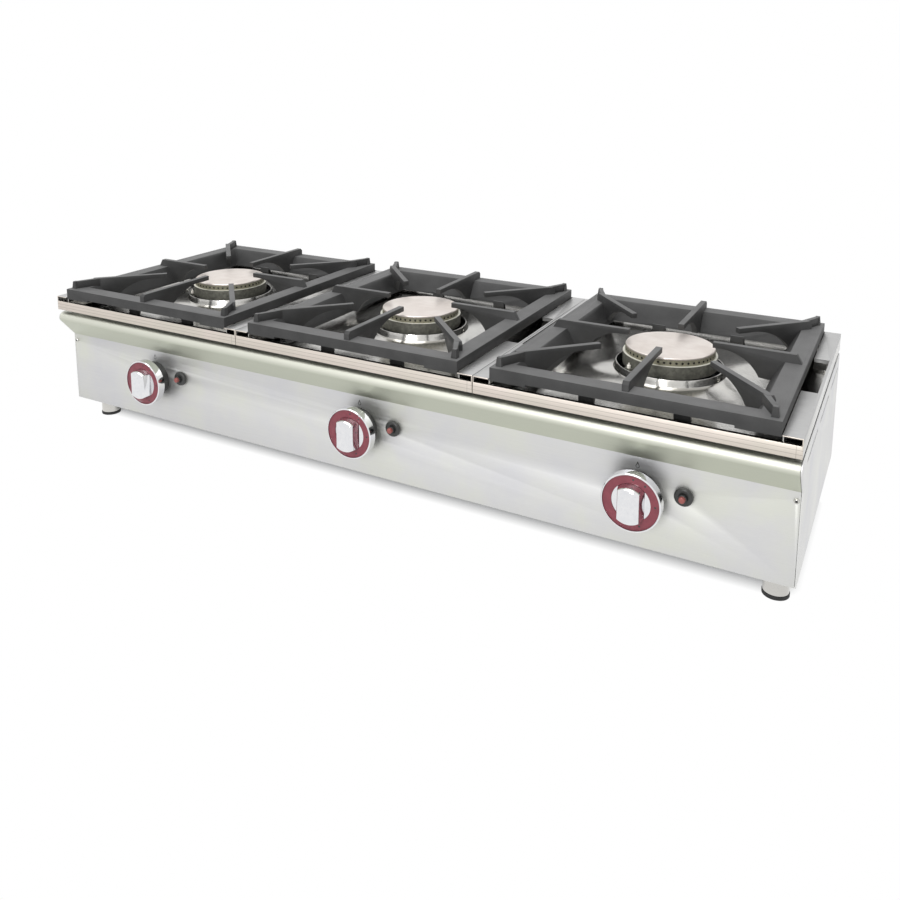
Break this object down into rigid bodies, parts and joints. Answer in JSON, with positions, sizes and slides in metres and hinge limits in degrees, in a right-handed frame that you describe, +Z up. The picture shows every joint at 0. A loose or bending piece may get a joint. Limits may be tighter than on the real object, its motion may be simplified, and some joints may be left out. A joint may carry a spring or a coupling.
{
  "type": "countertop gas boiling top",
  "caption": "Long countertop gas boiling top in stainless sheet, with open burners, cast pan supports, round control knobs and igniter buttons, on short feet.",
  "frame": {"origin": "on the worktop, under the middle of the overall box (knob grips and gas inlet included)", "axes": "+X along the front to the right as seen from the front, +Y to the back, +Z up"},
  "size_m": [1.2, 0.4634, 0.259],
  "materials": {
    "brushed_stainless": "fine horizontal brushing",
    "polished_stainless": "bright rolled sheet",
    "galvanised": "zinc coated sheet, spangled",
    "black_enamel": "matt vitreous enamel on cast iron",
    "cast_burner": "rough cast, heat darkened",
    "brass": "dulled by heat",
    "cap_steel": "spun, warm tinted",
    "chrome": "mirror plated",
    "red_scale": "satin red",
    "black_plastic": "moulded phenolic",
    "black_rubber": "moulded",
    "steel_pipe": "drawn tube",
    "ceramic": "glazed white ceramic",
    "button_plastic": "moulded black with a red tip"
  },
  "bodies": {
    "chassis": {"base_panel": "galvanised", "left_side_panel": "brushed_stainless", "right_side_panel": "brushed_stainless", "back_panel": "galvanised", "control_panel": "brushed_stainless", "front_rail": "galvanised", "rear_rail": "galvanised", "burner_brackets": "galvanised", "foot_front_left": "polished_stainless", "foot_front_right": "polished_stainless", "foot_rear_left": "polished_stainless", "foot_rear_right": "polished_stainless", "foot_pads": "black_rubber", "panel_screws": "polished_stainless", "gas_manifold": "steel_pipe", "gas_inlet": "steel_pipe", "injectors": "brass", "spark_electrodes": "ceramic", "tap_body_1": "brass", "tap_body_2": "brass", "tap_body_3": "brass", "supply_pipe_1": "steel_pipe", "supply_pipe_2": "steel_pipe", "supply_pipe_3": "steel_pipe", "burner_body_1": "cast_burner", "burner_body_2": "cast_burner", "burner_body_3": "cast_burner", "burner_head_1": "brass", "burner_head_2": "brass", "burner_head_3": "brass", "knob_base_1": "black_plastic", "knob_base_2": "black_plastic", "knob_base_3": "black_plastic", "igniter_body_1": "black_plastic", "igniter_body_2": "black_plastic", "igniter_body_3": "black_plastic"},
    "tray_1": {"top_tray_1": "polished_stainless"},
    "support_1": {"pan_support_1": "black_enamel"},
    "cap_1": {"burner_cap_1": "cap_steel"},
    "tap_1": {"tap_plug_1": "brass"},
    "control_1": {"tap_stem_1": "steel_pipe", "knob_1": "chrome", "knob_ring_1": "red_scale"},
    "button_1": {"igniter_button_1": "button_plastic"},
    "tray_2": {"top_tray_2": "polished_stainless"},
    "support_2": {"pan_support_2": "black_enamel"},
    "cap_2": {"burner_cap_2": "cap_steel"},
    "tap_2": {"tap_plug_2": "brass"},
    "control_2": {"tap_stem_2": "steel_pipe", "knob_2": "chrome", "knob_ring_2": "red_scale"},
    "button_2": {"igniter_button_2": "button_plastic"},
    "tray_3": {"top_tray_3": "polished_stainless"},
    "support_3": {"pan_support_3": "black_enamel"},
    "cap_3": {"burner_cap_3": "cap_steel"},
    "tap_3": {"tap_plug_3": "brass"},
    "control_3": {"tap_stem_3": "steel_pipe", "knob_3": "chrome", "knob_ring_3": "red_scale"},
    "button_3": {"igniter_button_3": "button_plastic"}
  },
  "joints": [
    {"name": "tray_lift_1", "type": "slide", "parent": "chassis", "child": "tray_1", "axis": [0, 0, 1], "range_m": [0, 0.06]},
    {"name": "support_lift_1", "type": "slide", "parent": "tray_1", "child": "support_1", "axis": [0, 0, 1], "range_m": [0, 0.06]},
    {"name": "cap_lift_1", "type": "slide", "parent": "chassis", "child": "cap_1", "axis": [0, 0, 1], "range_m": [0, 0.005]},
    {"name": "tap_turn_1", "type": "hinge", "parent": "chassis", "child": "tap_1", "pos_m": [-0.4025, -0.18775, 0.111], "axis": [0, -1, 0], "range_deg": [0, 180]},
    {"name": "knob_push_1", "type": "slide", "parent": "tap_1", "child": "control_1", "axis": [0, 1, 0], "range_m": [0, 0.003], "stiffness_N_per_m": 600, "springref_m": -0.008},
    {"name": "igniter_push_1", "type": "slide", "parent": "chassis", "child": "button_1", "axis": [0, 1, 0], "range_m": [0, 0.004], "stiffness_N_per_m": 500, "springref_m": -0.006},
    {"name": "tray_lift_2", "type": "slide", "parent": "chassis", "child": "tray_2", "axis": [0, 0, 1], "range_m": [0, 0.06]},
    {"name": "support_lift_2", "type": "slide", "parent": "tray_2", "child": "support_2", "axis": [0, 0, 1], "range_m": [0, 0.06]},
    {"name": "cap_lift_2", "type": "slide", "parent": "chassis", "child": "cap_2", "axis": [0, 0, 1], "range_m": [0, 0.005]},
    {"name": "tap_turn_2", "type": "hinge", "parent": "chassis", "child": "tap_2", "pos_m": [0.0055, -0.18775, 0.111], "axis": [0, -1, 0], "range_deg": [0, 180]},
    {"name": "knob_push_2", "type": "slide", "parent": "tap_2", "child": "control_2", "axis": [0, 1, 0], "range_m": [0, 0.003], "stiffness_N_per_m": 600, "springref_m": -0.008},
    {"name": "igniter_push_2", "type": "slide", "parent": "chassis", "child": "button_2", "axis": [0, 1, 0], "range_m": [0, 0.004], "stiffness_N_per_m": 500, "springref_m": -0.006},
    {"name": "tray_lift_3", "type": "slide", "parent": "chassis", "child": "tray_3", "axis": [0, 0, 1], "range_m": [0, 0.06]},
    {"name": "support_lift_3", "type": "slide", "parent": "tray_3", "child": "support_3", "axis": [0, 0, 1], "range_m": [0, 0.06]},
    {"name": "cap_lift_3", "type": "slide", "parent": "chassis", "child": "cap_3", "axis": [0, 0, 1], "range_m": [0, 0.005]},
    {"name": "tap_turn_3", "type": "hinge", "parent": "chassis", "child": "tap_3", "pos_m": [0.4135, -0.18775, 0.111], "axis": [0, -1, 0], "range_deg": [0, 180]},
    {"name": "knob_push_3", "type": "slide", "parent": "tap_3", "child": "control_3", "axis": [0, 1, 0], "range_m": [0, 0.003], "stiffness_N_per_m": 600, "springref_m": -0.008},
    {"name": "igniter_push_3", "type": "slide", "parent": "chassis", "child": "button_3", "axis": [0, 1, 0], "range_m": [0, 0.004], "stiffness_N_per_m": 500, "springref_m": -0.006}
  ]
}
